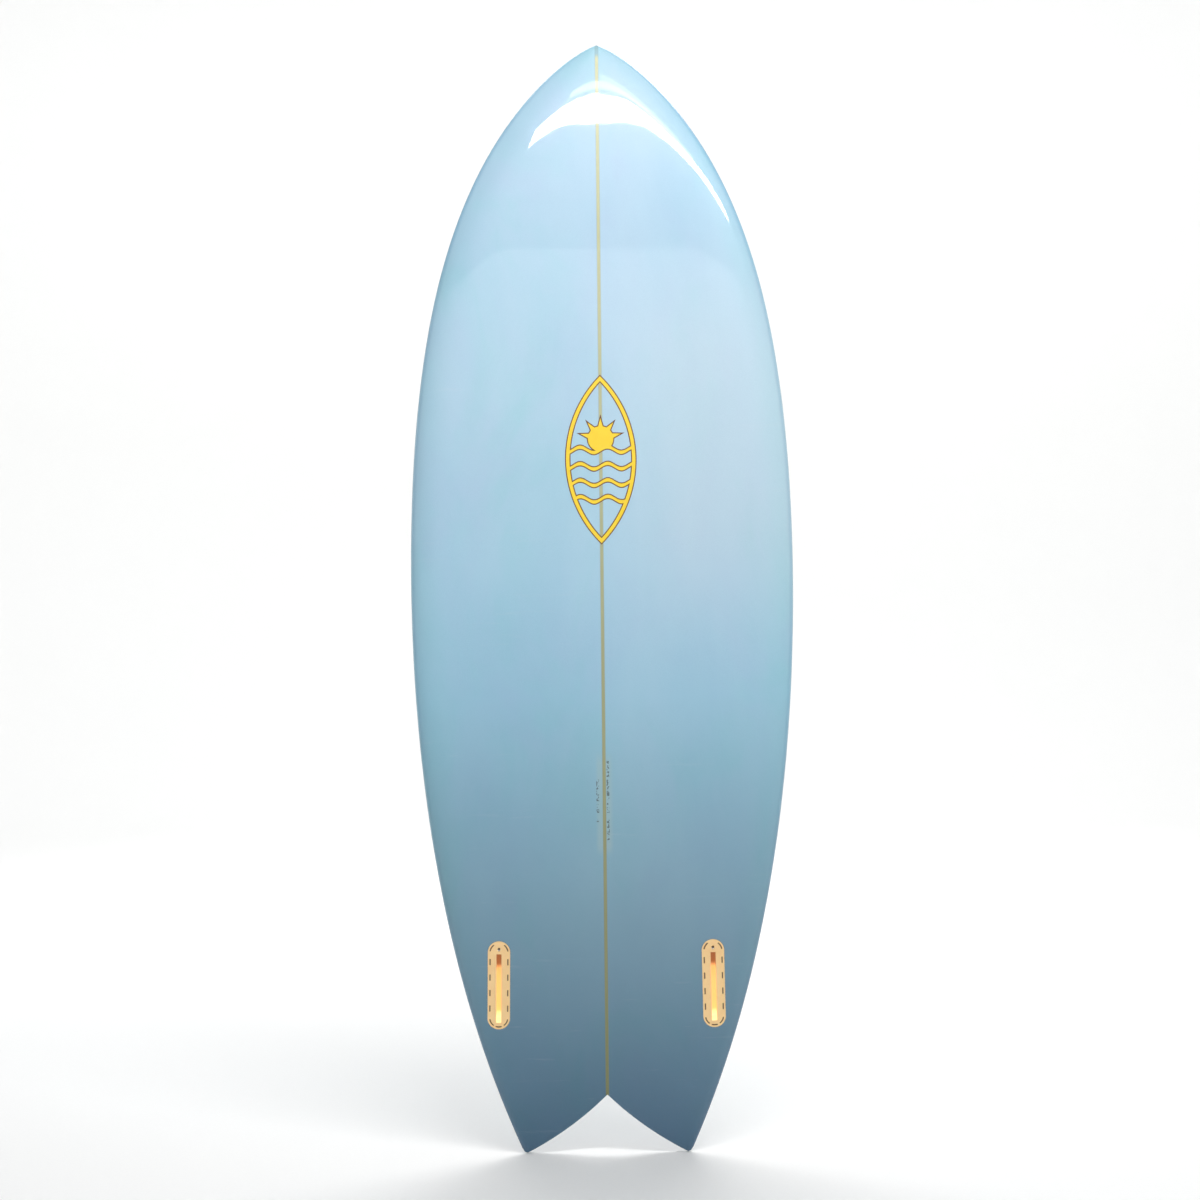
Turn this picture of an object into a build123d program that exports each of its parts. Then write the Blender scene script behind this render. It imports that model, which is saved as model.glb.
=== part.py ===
"""A 5 ft 5 in twin-fin fish surfboard: foam core, wooden stringer, glass skins, two fin boxes and a leash plug.

The board stands upright: nose towards +Z, deck towards +Y, bottom (the side that holds the fins) towards -Y.
Left is -X and right is +X, as seen by someone who faces the bottom. The origin is on the ground under the
middle of the board's bounding box. All sizes are in millimetres.
"""

import math
import os

from build123d import *

# Outline and side view
LENGTH = 1651.0  # nose to tail tips, 5 ft 5 in
WIDTH = 559.0  # at the wide point, 22 in
THICKNESS = 63.5  # at the stringer, 2 1/2 in
WIDE_Z = 850.0  # height of the wide point and of the thickest point
TAIL_THINNING, NOSE_THINNING = 0.79, 0.85  # share of the thickness that is gone at each end
NOSE_ROCKER, TAIL_ROCKER = 114.0, 51.0
FLAT_Z = 760.0  # where the bottom has no rocker
NOSE_ROUND = 14.0  # the side view of the nose tip rounds off like the end of an ellipse
NOSE_CAP = 4.0  # that ellipse is cut off this far before its end
NOSE_EASE = 1.0  # the loft passes this far under the nose's highest point

# Cross-section
DECK_FULLNESS = 0.6  # how far the deck stays level before it falls away to the rail
RAIL_FULLNESS = 0.62
NOSE_TUCK, MIDDLE_TUCK, TAIL_TUCK = 0.6, 0.17, 0.07  # width of the bottom's rounded edge over the half width

# Swallow tail
NOTCH_DEPTH = 88.0
NOTCH_BULGE = 5.3  # how far each inner edge bows towards the ground from a straight line
NOTCH_ROUND = 2.5
TIP_ROUND = 5.0
TIP_RISE = 0.6  # keeps the lowest point of the rounded tips on the ground

# Skins and wood
GLASS = 1.0
PATCH = 0.6
STRINGER = 4.8
GLUE = 0.3
LAP = 52.0  # the bottom glass is wrapped round the rails this far onto the deck
LAP_TAIL_Z, LAP_CORNER, LAP_NOSE_Z = 138.0, (97.0, 66.0), 1612.0
PATCH_TOP_Z = 1050.0  # the extra deck cloth runs from the tail to here
TAIL_PATCH_Z = 150.0
FIN_PATCH_WIDTH, FIN_PATCH_LENGTH = 84.0, 190.0

# Fin boxes
FIN_X, FIN_Z = 157.0, 254.0  # centre of each box
TOE_IN = 1.1  # degrees, fronts of the boxes towards the stringer
FLANGE_LENGTH, FLANGE_WIDTH, FLANGE_THICK = 131.0, 32.6, 3.0
FLANGE_SUNK = 0.2  # the flat flange is set this deep at its middle, so that its ends are not too proud
BODY_LENGTH, BODY_WIDTH, BODY_DEPTH = 119.0, 13.0, 21.5
SLOT_LENGTH, SLOT_WIDTH, SLOT_DEPTH = 102.0, 7.3, 19.0
SLOT_BACK = 4.6  # the slot's centre lies this far behind the flange's centre
SLOT_RAMP = 14.0  # radius of the rising floor at the slot's rear end
LIP_WIDTH, LIP_HEIGHT = 2.4, 0.2
SLIT_LENGTH, SLIT_WIDTH, SLIT_DEPTH = 9.6, 1.9, 1.8
SLIT_PITCH, SLIT_X = 23.1, 13.0
SCREW_Y = 53.4  # from the flange's centre forward to the clamp screw's hole
SCREW_TILT = 42.0  # degrees between the screw and the box's depth
SCREW_RADIUS, SCREW_LENGTH, SCREW_HEX, SCREW_HEX_DEPTH = 2.1, 7.0, 2.4, 2.2
SCREW_SUNK, SCREW_CLEARANCE, SCREW_HOLE = 1.0, 0.05, 13.0
BED = 1.2  # resin round the fin boxes and the leash plug

# Leash plug, in the deck
PLUG_X, PLUG_Z = 28.0, 156.0
PLUG_RADIUS, PLUG_DEPTH, CUP_RADIUS, CUP_DEPTH = 14.3, 18.0, 11.0, 14.5
BAR_RADIUS, BAR_LENGTH, BAR_SUNK = 2.0, 26.0, 5.0

# Badge printed on the bottom: a pointed oval ring with a rayed sun over four waves
BADGE_Z, BADGE_LENGTH, BADGE_WIDTH, BADGE_THICK = 1020.0, 248.0, 104.0, 0.3
RING_WIDTH = 8.0
SUN_RADIUS, SUN_RISE = 20.0, 30.0
RAYS, RAY_TURN, RAY_REACH, RAY_FOOT = 5, 38.0, 36.0, 5.0  # count, degrees apart, tip radius, half width at 18 mm
WAVES, WAVE_RISE, WAVE_PITCH = 4, 14.0, 24.0
WAVE_WIDTH, WAVE_SWING, WAVE_LENGTH = 8.0, 4.0, 40.0

STATIONS = [-20.0, 60.0, 180.0, 340.0, 540.0, 760.0, 980.0, 1180.0, 1340.0, 1460.0, 1545.0, 1600.0, 1630.0]
FAR = 120.0  # reach of cutting tools beyond the board


def half_width(z, inset=0.0):
    """Distance from the stringer to the rail at height z, for a surface inset from the outside."""
    widest = WIDTH / 2 - inset
    if z > WIDE_Z:
        u = (z - WIDE_Z) / (LENGTH + 1.0 - 2 * inset - WIDE_Z)
        return widest * (1 - 0.52 * u**2 - 0.48 * u**4) ** 0.773
    v = (WIDE_Z - z) / WIDE_Z
    return widest * (1 - 0.454 * v**2 - 0.105 * v**4)


def rocker(z):
    """How far the bottom has curved towards the deck at height z."""
    if z > FLAT_Z:
        return NOSE_ROCKER * ((z - FLAT_Z) / (LENGTH - FLAT_Z)) ** 2.5
    return TAIL_ROCKER * ((FLAT_Z - z) / FLAT_Z) ** 2.2


def foil(z, inset=0.0):
    """Thickness at the stringer."""
    if z > WIDE_Z:
        full = THICKNESS * (1 - NOSE_THINNING * ((z - WIDE_Z) / (LENGTH - WIDE_Z)) ** 2)
    else:
        full = THICKNESS * (1 - TAIL_THINNING * ((WIDE_Z - z) / WIDE_Z) ** 2)
    past = max(0.0, z - (LENGTH - 2 * inset + NOSE_CAP - NOSE_ROUND)) / NOSE_ROUND
    return full * math.sqrt(1 - past**2)


def rail_share(z):
    """Height of the rail's widest line over the bottom, as a share of the thickness."""
    return 0.30 + 0.15 * z / LENGTH


def tuck(z):
    """Width of the rounded edge of the bottom, as a share of the half width."""
    if z > WIDE_Z:
        return MIDDLE_TUCK + (NOSE_TUCK - MIDDLE_TUCK) * ((z - WIDE_Z) / (LENGTH - WIDE_Z)) ** 2
    return MIDDLE_TUCK + (TAIL_TUCK - MIDDLE_TUCK) * ((WIDE_Z - z) / WIDE_Z) ** 2


# The nose tip reaches furthest back, and the bottom at FLAT_Z furthest forward
MIDDLE_Y = (max(rocker(z) + foil(z) for z in range(1500, int(LENGTH) + 1)) - NOSE_EASE) / 2


def levels(z, inset=0.0):
    """Y of the bottom, of the rail's widest line and of the deck at the stringer."""
    bottom = rocker(z) - MIDDLE_Y
    thick = foil(z, inset)
    shrink = (foil(z) - thick) * rail_share(z)
    rail = bottom + rail_share(z) * foil(z)
    return bottom + shrink + inset, rail, bottom + shrink + thick - inset


def section(z, inset):
    """The board's cross-section at height z, as a face."""
    wide = half_width(z, inset)
    flat = wide * (1 - tuck(z))
    bottom, rail, deck = levels(z, inset)
    rail_edge = [
        (flat, bottom, z),
        (flat + 0.6 * (wide - flat), bottom, z),
        (wide, rail - 0.6 * (rail - bottom), z),
        (wide, rail, z),
    ]
    deck_edge = [
        (wide, rail, z),
        (wide, rail + RAIL_FULLNESS * (deck - rail), z),
        (wide * DECK_FULLNESS, deck, z),
        (0, deck, z),
    ]
    other_rail, other_deck = ([(-x, y, z) for x, y, z in edge[::-1]] for edge in (rail_edge, deck_edge))
    # Five separate edges at every height, so that the loft pairs them up
    edges = [Line(other_rail[-1], rail_edge[0], mode=Mode.PRIVATE)]
    edges += [Bezier(*edge, mode=Mode.PRIVATE) for edge in (rail_edge, deck_edge, other_deck, other_rail)]
    return Face(Wire(edges))


def notch_cutter():
    """The prism that cuts the swallow tail out of the board."""
    tip_x = half_width(0.0) - TIP_ROUND
    chord = math.hypot(tip_x, NOTCH_DEPTH)
    middle = (
        tip_x / 2 - NOTCH_BULGE * NOTCH_DEPTH / chord,
        NOTCH_DEPTH / 2 - NOTCH_BULGE * tip_x / chord,
    )
    with BuildPart() as cutter:
        with BuildSketch(Plane.XZ.offset(-2 * FAR)) as outline:
            with BuildLine():
                edge = ThreePointArc((0, NOTCH_DEPTH), middle, (tip_x, TIP_RISE))
                turn = JernArc(edge @ 1, edge % 1, TIP_ROUND, 75)
                out = Line(turn @ 1, turn @ 1 + turn % 1 * FAR)
                Polyline(out @ 1, (tip_x + FAR, -FAR), (0, -FAR), (0, NOTCH_DEPTH))
            make_face()
            mirror(about=Plane.YZ)
            fillet(outline.vertices().sort_by(Axis.Y)[-1], radius=NOTCH_ROUND)
        extrude(amount=4 * FAR)
    return cutter.part


def board_body(inset):
    """The whole board's solid shape, inset from the outside."""
    heights = [*STATIONS, LENGTH - 2 * inset]
    with BuildPart() as body:
        loft(sections=[section(z, inset) for z in heights])
        with Locations((0, 0, 1.25 * inset)):
            add(notch_cutter(), mode=Mode.SUBTRACT)
    return body.part


def deck_side():
    """The room over the deck, from the rails' middle up and inside the line where the bottom glass ends."""
    lap = [(half_width(z) - LAP, z) for z in (260, 550, 850, 1120, 1350, 1500, 1575)]
    rails = [(levels(z)[1], z) for z in (-20, 200, 500, 800, 1100, 1350, 1550, LENGTH)]
    with BuildPart() as room:
        with BuildSketch(Plane.XZ.offset(-2 * FAR)):
            with BuildLine():
                Line((0, LAP_TAIL_Z), LAP_CORNER)
                Spline(LAP_CORNER, *lap, (0, LAP_NOSE_Z))
                Line((0, LAP_NOSE_Z), (0, LAP_TAIL_Z))
            make_face()
            mirror(about=Plane.YZ)
        extrude(amount=4 * FAR)
        with BuildSketch(Plane.YZ):
            with BuildLine():
                Spline(*rails)
                Polyline(rails[-1], (2 * FAR, LENGTH), (2 * FAR, -20), rails[0])
            make_face()
        extrude(amount=WIDTH, both=True, mode=Mode.INTERSECT)
    return room.part


def slab(low, high):
    """All the space between two heights."""
    with BuildPart() as space:
        with Locations((0, 0, (low + high) / 2)):
            Box(2 * WIDTH, 4 * FAR, high - low)
    return space.part


def fin_plane(side):
    """The plane of a fin box's flange: X across, Y forward along the fin, Z out of the bottom."""
    slope = (rocker(FIN_Z + 1) - rocker(FIN_Z - 1)) / 2
    outward = Vector(0, -1, slope).normalized()
    centre = Vector(side * FIN_X, levels(FIN_Z)[0], FIN_Z) - outward * FLANGE_SUNK
    straight = Plane(centre, x_dir=(1, 0, 0), z_dir=outward)
    return Plane(straight.location * Location((0, 0, 0), (0, 0, side * TOE_IN)))


def plug_plane():
    """The plane of the leash plug's rim: Z out of the deck."""
    slope = (levels(PLUG_Z + 1)[2] - levels(PLUG_Z - 1)[2]) / 2
    return Plane((PLUG_X, levels(PLUG_Z)[2], PLUG_Z), x_dir=(1, 0, 0), z_dir=(0, 1, -slope))


def fin_box_room(side, margin, above):
    """The room a fin box takes up, grown by a margin and open above its flange."""
    plane = fin_plane(side)
    with BuildPart() as room:
        with BuildSketch(plane.offset(above)):
            SlotOverall(FLANGE_LENGTH + 2 * margin, FLANGE_WIDTH + 2 * margin, rotation=90)
        extrude(amount=-(above + FLANGE_THICK + margin))
        with BuildSketch(plane):
            SlotOverall(BODY_LENGTH + 2 * margin, BODY_WIDTH + 2 * margin, rotation=90)
        extrude(amount=-(BODY_DEPTH + margin))
    return room.part


def screw_room(side, radius, sunk, length):
    """A cylinder on the axis of a fin box's clamp screw, starting at a depth along that axis."""
    axis = Plane(fin_plane(side).location * Location((0, SCREW_Y, 0), (-SCREW_TILT, 0, 0)))
    with BuildPart() as room:
        with BuildSketch(axis.offset(-sunk)):
            Circle(radius)
        extrude(amount=-length)
    return room.part


def slit_pattern():
    """Thirteen narrow slits round the flange: four down each side, curved ones at the ends."""
    end_y = (FLANGE_LENGTH - FLANGE_WIDTH) / 2
    with BuildSketch() as pattern:
        with GridLocations(2 * SLIT_X, SLIT_PITCH, 2, 4):
            SlotOverall(SLIT_LENGTH, SLIT_WIDTH, rotation=90)
        for start in (10, 128):
            SlotArc(CenterArc((0, end_y), SLIT_X, start, 42, mode=Mode.PRIVATE), SLIT_WIDTH)
            SlotArc(CenterArc((0, -end_y), SLIT_X, start + 180, 42, mode=Mode.PRIVATE), SLIT_WIDTH)
        SlotArc(CenterArc((0, -end_y), SLIT_X, 254, 32, mode=Mode.PRIVATE), SLIT_WIDTH)
    return pattern.sketch


def fin_box(side):
    """A moulded fin box: flange, body, slot for the fin's base, slits for resin and a clamp screw's hole."""
    plane = fin_plane(side)
    lengthwise = Plane(plane.origin, x_dir=plane.y_dir, z_dir=plane.x_dir)
    front = SLOT_LENGTH / 2 - SLOT_BACK
    rear = front - SLOT_LENGTH
    slits = slit_pattern()
    with BuildPart() as box:
        add(fin_box_room(side, 0, 0))
        with BuildSketch(plane):
            with Locations((0, -SLOT_BACK)):
                RectangleRounded(SLOT_WIDTH + 2 * LIP_WIDTH, SLOT_LENGTH + 2 * LIP_WIDTH, LIP_WIDTH)
        extrude(amount=LIP_HEIGHT)
        with BuildSketch(lengthwise):
            with BuildLine():
                Polyline((rear, SLOT_RAMP - SLOT_DEPTH), (rear, 5), (front, 5), (front, -SLOT_DEPTH))
                Line((front, -SLOT_DEPTH), (rear + SLOT_RAMP, -SLOT_DEPTH))
                RadiusArc((rear + SLOT_RAMP, -SLOT_DEPTH), (rear, SLOT_RAMP - SLOT_DEPTH), SLOT_RAMP)
            make_face()
        extrude(amount=SLOT_WIDTH / 2, both=True, mode=Mode.SUBTRACT)
        with BuildSketch(plane):
            add(slits)
        extrude(amount=-SLIT_DEPTH, mode=Mode.SUBTRACT)
        add(screw_room(side, SCREW_RADIUS + SCREW_CLEARANCE, -3, SCREW_HOLE + 3), mode=Mode.SUBTRACT)
    return box.part


def fin_screw(side):
    """A headless clamp screw with a hexagon socket."""
    axis = Plane(fin_plane(side).location * Location((0, SCREW_Y, 0), (-SCREW_TILT, 0, 0)))
    with BuildPart() as screw:
        add(screw_room(side, SCREW_RADIUS, SCREW_SUNK, SCREW_LENGTH))
        chamfer(screw.edges().filter_by(GeomType.CIRCLE), length=0.3)
        with BuildSketch(axis.offset(-SCREW_SUNK)):
            RegularPolygon(SCREW_HEX / 2, 6, major_radius=False)
        extrude(amount=-SCREW_HEX_DEPTH, mode=Mode.SUBTRACT)
    return screw.part


def fin_patch_room(side):
    """The room of the extra cloth laid round a fin box."""
    with BuildPart() as room:
        with BuildSketch(fin_plane(side).offset(10)):
            RectangleRounded(FIN_PATCH_WIDTH, FIN_PATCH_LENGTH, 20)
        extrude(amount=-18)
    return room.part


def plug_room(radius, above, depth):
    """A cylinder on the leash plug's axis, from above the rim down to a depth."""
    with BuildPart() as room:
        with BuildSketch(plug_plane().offset(above)):
            Circle(radius)
        extrude(amount=-(above + depth))
    return room.part


def leash_bar_rod():
    """The steel bar across the leash plug."""
    plane = plug_plane()
    middle = plane.origin - plane.z_dir * BAR_SUNK
    with BuildPart() as rod:
        with BuildSketch(Plane(middle - plane.x_dir * BAR_LENGTH / 2, z_dir=plane.x_dir)):
            Circle(BAR_RADIUS)
        extrude(amount=BAR_LENGTH)
    return rod.part


def pointed_oval(inset):
    """The badge's pointed oval, inset by so much."""
    radius = (BADGE_LENGTH**2 + BADGE_WIDTH**2) / (4 * BADGE_WIDTH)
    tip = math.sqrt((radius - inset) ** 2 - (radius - BADGE_WIDTH / 2) ** 2)
    with BuildSketch() as oval:
        with BuildLine():
            for side in (1, -1):
                ThreePointArc((0, BADGE_Z - tip), (side * (BADGE_WIDTH / 2 - inset), BADGE_Z), (0, BADGE_Z + tip))
        make_face()
    return oval.sketch


def wave_band(z):
    """One wave, across the whole badge."""
    steps = [BADGE_WIDTH * (k / 24 - 0.5) for k in range(25)]
    low = [(x, z - WAVE_WIDTH / 2 + WAVE_SWING * math.sin(2 * math.pi * x / WAVE_LENGTH)) for x in steps]
    high = [(x, y + WAVE_WIDTH) for x, y in reversed(low)]
    with BuildSketch() as band:
        with BuildLine():
            Spline(*low)
            Line(low[-1], high[0])
            Spline(*high)
            Line(high[-1], low[0])
        make_face()
    return band.sketch


def badge_room():
    """The badge's shape as a prism through the bottom."""
    with BuildPart() as room:
        with BuildSketch(Plane.XZ):
            with Locations((0, BADGE_Z + SUN_RISE)):
                Circle(SUN_RADIUS)
                with PolarLocations(0, RAYS, start_angle=90 - RAY_TURN * (RAYS - 1) / 2, angular_range=RAY_TURN * RAYS):
                    Polygon((18, -RAY_FOOT), (RAY_REACH, 0), (18, RAY_FOOT), align=None)
            for row in range(WAVES):
                add(wave_band(BADGE_Z + WAVE_RISE - WAVE_PITCH * row))
            add(pointed_oval(RING_WIDTH / 2), mode=Mode.INTERSECT)
            add(pointed_oval(0) - pointed_oval(RING_WIDTH))
        extrude(amount=FAR)
    return room.part


def board_without(*rooms):
    """What is under the glass, less the given rooms."""
    with BuildPart() as rest:
        add(under_glass)
        for room in rooms:
            add(room, mode=Mode.SUBTRACT)
    return rest.part


os.makedirs("parts", exist_ok=True)

outer = board_body(0)
under_glass = board_body(GLASS)
under_cloth = board_body(GLASS + PATCH)
over_deck = deck_side()
fin_rooms = [fin_box_room(side, BED, 10) for side in (-1, 1)]
plug_hole = plug_room(PLUG_RADIUS + BED, 10, PLUG_DEPTH + BED)

with BuildPart() as deck_laminate:
    add(outer)
    add(over_deck, mode=Mode.INTERSECT)
    add(under_glass, mode=Mode.SUBTRACT)
    add(plug_hole, mode=Mode.SUBTRACT)

with BuildPart() as logo_decal:
    add(outer)
    add(badge_room(), mode=Mode.INTERSECT)
    with Locations((0, BADGE_THICK, 0)):
        add(outer, mode=Mode.SUBTRACT)

with BuildPart() as bottom_laminate:
    add(outer)
    add(under_glass, mode=Mode.SUBTRACT)
    add(over_deck, mode=Mode.SUBTRACT)
    add(fin_rooms, mode=Mode.SUBTRACT)
    add(logo_decal.part, mode=Mode.SUBTRACT)

with BuildPart() as deck_patch:
    add(under_glass)
    add(over_deck, mode=Mode.INTERSECT)
    add(slab(0, PATCH_TOP_Z), mode=Mode.INTERSECT)
    add(under_cloth, mode=Mode.SUBTRACT)
    add(plug_hole, mode=Mode.SUBTRACT)

with BuildPart() as tail_patch:
    add(under_glass)
    add(slab(-20, TAIL_PATCH_Z), mode=Mode.INTERSECT)
    add(over_deck, mode=Mode.SUBTRACT)
    add(under_cloth, mode=Mode.SUBTRACT)

fin_patches = []
for side, fin_room in zip((-1, 1), fin_rooms):
    with BuildPart() as fin_patch:
        add(under_glass)
        add(fin_patch_room(side), mode=Mode.INTERSECT)
        add(under_cloth, mode=Mode.SUBTRACT)
        add(fin_room, mode=Mode.SUBTRACT)
    fin_patches.append(fin_patch.part)

inside = board_without(deck_patch.part, tail_patch.part, *fin_patches, *fin_rooms, plug_hole)

with BuildPart() as stringer:
    add(inside)
    Box(STRINGER, 4 * FAR, 3 * LENGTH, mode=Mode.INTERSECT)

glue_lines = []
foams = []
for side in (-1, 1):
    with BuildPart() as glue_line:
        add(inside)
        with Locations((side * (STRINGER + GLUE) / 2, 0, 0)):
            Box(GLUE, 4 * FAR, 3 * LENGTH, mode=Mode.INTERSECT)
    glue_lines.append(glue_line.part)
    with BuildPart() as foam:
        add(inside)
        with Locations((side * (STRINGER / 2 + GLUE + WIDTH / 2), 0, 0)):
            Box(WIDTH, 4 * FAR, 3 * LENGTH, mode=Mode.INTERSECT)
    foams.append(foam.part)

fin_boxes = [fin_box(side) for side in (-1, 1)]
fin_screws = [fin_screw(side) for side in (-1, 1)]
fin_beds = []
for side, fin_room in zip((-1, 1), fin_rooms):
    with BuildPart() as fin_bed:
        add(outer)
        add(fin_room, mode=Mode.INTERSECT)
        add(fin_box_room(side, 0, 10), mode=Mode.SUBTRACT)
    fin_beds.append(fin_bed.part)

with BuildPart() as leash_cup:
    add(plug_room(PLUG_RADIUS, 0, PLUG_DEPTH))
    chamfer(leash_cup.edges().filter_by(GeomType.CIRCLE).sort_by(Axis.Y)[-1], length=0.5)
    add(plug_room(CUP_RADIUS, 5, CUP_DEPTH), mode=Mode.SUBTRACT)
    add(leash_bar_rod(), mode=Mode.SUBTRACT)

with BuildPart() as leash_bar:
    add(leash_bar_rod())

with BuildPart() as leash_cup_bed:
    add(outer)
    add(plug_hole, mode=Mode.INTERSECT)
    add(plug_room(PLUG_RADIUS, 10, PLUG_DEPTH), mode=Mode.SUBTRACT)

pieces = {
    "foam_core_left": foams[0],
    "foam_core_right": foams[1],
    "stringer": stringer.part,
    "glue_line_left": glue_lines[0],
    "glue_line_right": glue_lines[1],
    "bottom_laminate": bottom_laminate.part,
    "deck_laminate": deck_laminate.part,
    "deck_patch": deck_patch.part,
    "tail_patch": tail_patch.part,
    "fin_patch_left": fin_patches[0],
    "fin_patch_right": fin_patches[1],
    "fin_box_left": fin_boxes[0],
    "fin_box_right": fin_boxes[1],
    "fin_box_bed_left": fin_beds[0],
    "fin_box_bed_right": fin_beds[1],
    "fin_screw_left": fin_screws[0],
    "fin_screw_right": fin_screws[1],
    "leash_cup": leash_cup.part,
    "leash_bar": leash_bar.part,
    "leash_cup_bed": leash_cup_bed.part,
    "logo_decal": logo_decal.part,
}
for name, piece in pieces.items():
    piece.label = name
    export_step(piece, f"parts/{name}.step")
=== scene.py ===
"""The looks of a 5 ft 5 in twin-fin fish surfboard, which stands upright with its bottom towards -Y.

Lengths in the shape formulas are millimetres, as in the CAD part; meshes are made in metres.
"""

import math

import bmesh
import bpy
import numpy as np
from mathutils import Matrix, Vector
from mathutils.bvhtree import BVHTree
from mathutils.geometry import tessellate_polygon


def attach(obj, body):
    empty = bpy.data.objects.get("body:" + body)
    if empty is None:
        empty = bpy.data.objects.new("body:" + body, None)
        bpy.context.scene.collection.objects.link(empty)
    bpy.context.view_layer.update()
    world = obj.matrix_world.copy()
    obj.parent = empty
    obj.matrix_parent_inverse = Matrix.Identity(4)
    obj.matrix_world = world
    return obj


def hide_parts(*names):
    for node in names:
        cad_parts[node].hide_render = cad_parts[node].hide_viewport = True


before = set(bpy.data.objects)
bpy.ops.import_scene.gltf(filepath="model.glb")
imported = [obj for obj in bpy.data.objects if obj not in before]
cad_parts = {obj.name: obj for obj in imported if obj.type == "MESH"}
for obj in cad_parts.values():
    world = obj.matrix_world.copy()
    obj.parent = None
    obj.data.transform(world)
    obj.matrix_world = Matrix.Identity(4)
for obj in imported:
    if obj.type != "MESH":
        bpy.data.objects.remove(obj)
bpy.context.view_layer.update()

MM = 0.001

# ---------------------------------------------------------------- board shape, the same formulas as the part

LENGTH, WIDTH, THICKNESS = 1651.0, 559.0, 63.5
WIDE_Z, FLAT_Z = 850.0, 760.0
NOSE_ROCKER, TAIL_ROCKER = 114.0, 51.0
NOSE_THINNING, TAIL_THINNING = 0.85, 0.79  # share of the thickness that is gone at each end
NOSE_ROUND, NOSE_CAP = 14.0, 4.0
NOSE_EASE, NOSE_EASE_Z = 1.35, 1530.0  # the bottom is eased by so much at the tip, from this height on
NOTCH_DEPTH, NOTCH_BULGE, TIP_ROUND = 88.0, 5.3, 5.0
EDGE_ROUND = 3.0
SKIN = 0.8
LAP = 52.0
LAP_TAIL_Z, LAP_TAIL_RISE, LAP_TAIL_REACH = 138.0, 72.0, 98.0  # the lap line's two straight edges over the notch
LAP_ROUND_Z, LAP_ROUNDING = 78, 0.035  # below this height the lap line's corners curve inwards
ABOVE_DECK = 200.0  # well above every point of the deck
CUT_IN, CUT_OUT = 8, 12  # how far cutters reach into the board and out of it


def half_width(z, inset=0.0):
    u = np.clip((z - WIDE_Z) / (LENGTH - 2 * inset - WIDE_Z), 0, 1)
    v = np.clip((WIDE_Z - z) / WIDE_Z, 0, 1)
    upper = (1 - 0.52 * u**2 - 0.48 * u**4) ** 0.773
    lower = 1 - 0.454 * v**2 - 0.105 * v**4
    return (WIDTH / 2 - inset) * np.where(z > WIDE_Z, upper, lower)


def rocker(z):
    up = np.clip((z - FLAT_Z) / (LENGTH - FLAT_Z), 0, 2)
    down = np.clip((FLAT_Z - z) / FLAT_Z, 0, 2)
    return NOSE_ROCKER * up**2.5 + TAIL_ROCKER * down**2.2


def foil(z):
    up = NOSE_THINNING * ((z - WIDE_Z) / (LENGTH - WIDE_Z)) ** 2
    down = TAIL_THINNING * ((WIDE_Z - z) / WIDE_Z) ** 2
    return THICKNESS * (1 - np.where(z > WIDE_Z, up, down))


_z = np.arange(1500.0, 1652.0)
MIDDLE_Y = (np.max(rocker(_z) + foil(_z) * np.sqrt(1 - (np.clip(_z - 1641, 0, 14) / 14) ** 2)) - 1.0) / 2


def levels(z, inset=0.0):
    """Y of the bottom, of the rail's widest line and of the deck, at the stringer."""
    end = LENGTH - 2 * inset
    past = np.clip(z - (end + NOSE_CAP - NOSE_ROUND), 0, NOSE_ROUND) / NOSE_ROUND
    fade = np.sqrt(np.clip(1 - past**2, 0, 1))
    share = 0.30 + 0.15 * z / LENGTH
    past_ease = np.clip(z - NOSE_EASE_Z, 0, None) / (LENGTH - NOSE_EASE_Z)
    bottom = rocker(z) - MIDDLE_Y - NOSE_EASE * past_ease**2
    rail = bottom + share * foil(z)
    low = np.clip(share * foil(z) - inset, 0, None) * fade
    high = np.clip((1 - share) * foil(z) - inset, 0, None) * fade
    return rail - low, rail, rail + high


def tuck(z):
    up = 0.17 + 0.43 * ((z - WIDE_Z) / (LENGTH - WIDE_Z)) ** 2
    down = 0.17 - 0.10 * ((WIDE_Z - z) / WIDE_Z) ** 2
    return np.where(z > WIDE_Z, up, down)


def bezier(t, a, b, c, d):
    s = 1 - t
    return a * s**3 + 3 * b * s**2 * t + 3 * c * s * t**2 + d * t**3


def half_section(kind, t, z, inset=0.0):
    """X and Y on the right half of the section at height z.

    kind is 0 for the flat of the bottom, 1 for the rail and 2 for the deck; t runs outwards, then back in.
    """
    wide = half_width(z, inset)
    flat = wide * (1 - tuck(z))
    bottom, rail, deck = levels(z, inset)
    flat_xy = (flat * t, bottom)
    rail_xy = (
        bezier(t, flat, flat + 0.6 * (wide - flat), wide, wide),
        bezier(t, bottom, bottom, rail - 0.6 * (rail - bottom), rail),
    )
    deck_xy = (
        bezier(t, wide, wide, 0.6 * wide, 0 * wide),
        bezier(t, rail, rail + 0.62 * (deck - rail), deck, deck),
    )
    x = np.where(kind == 0, flat_xy[0], np.where(kind == 1, rail_xy[0], deck_xy[0]))
    y = np.where(kind == 0, flat_xy[1], np.where(kind == 1, rail_xy[1], deck_xy[1]))
    return x, y


TIP_X = float(half_width(np.array(0.0))) - TIP_ROUND


def _notch_circle():
    chord = math.hypot(TIP_X, NOTCH_DEPTH)
    a = np.array([0.0, NOTCH_DEPTH])
    b = np.array([TIP_X / 2 - NOTCH_BULGE * NOTCH_DEPTH / chord, NOTCH_DEPTH / 2 - NOTCH_BULGE * TIP_X / chord])
    c = np.array([TIP_X, 0.6])
    m = 2 * np.array([b - a, c - a])
    centre = np.linalg.solve(m, np.array([b @ b - a @ a, c @ c - a @ a]))
    return centre, float(np.linalg.norm(a - centre))


NOTCH_CENTRE, NOTCH_RADIUS = _notch_circle()


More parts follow.
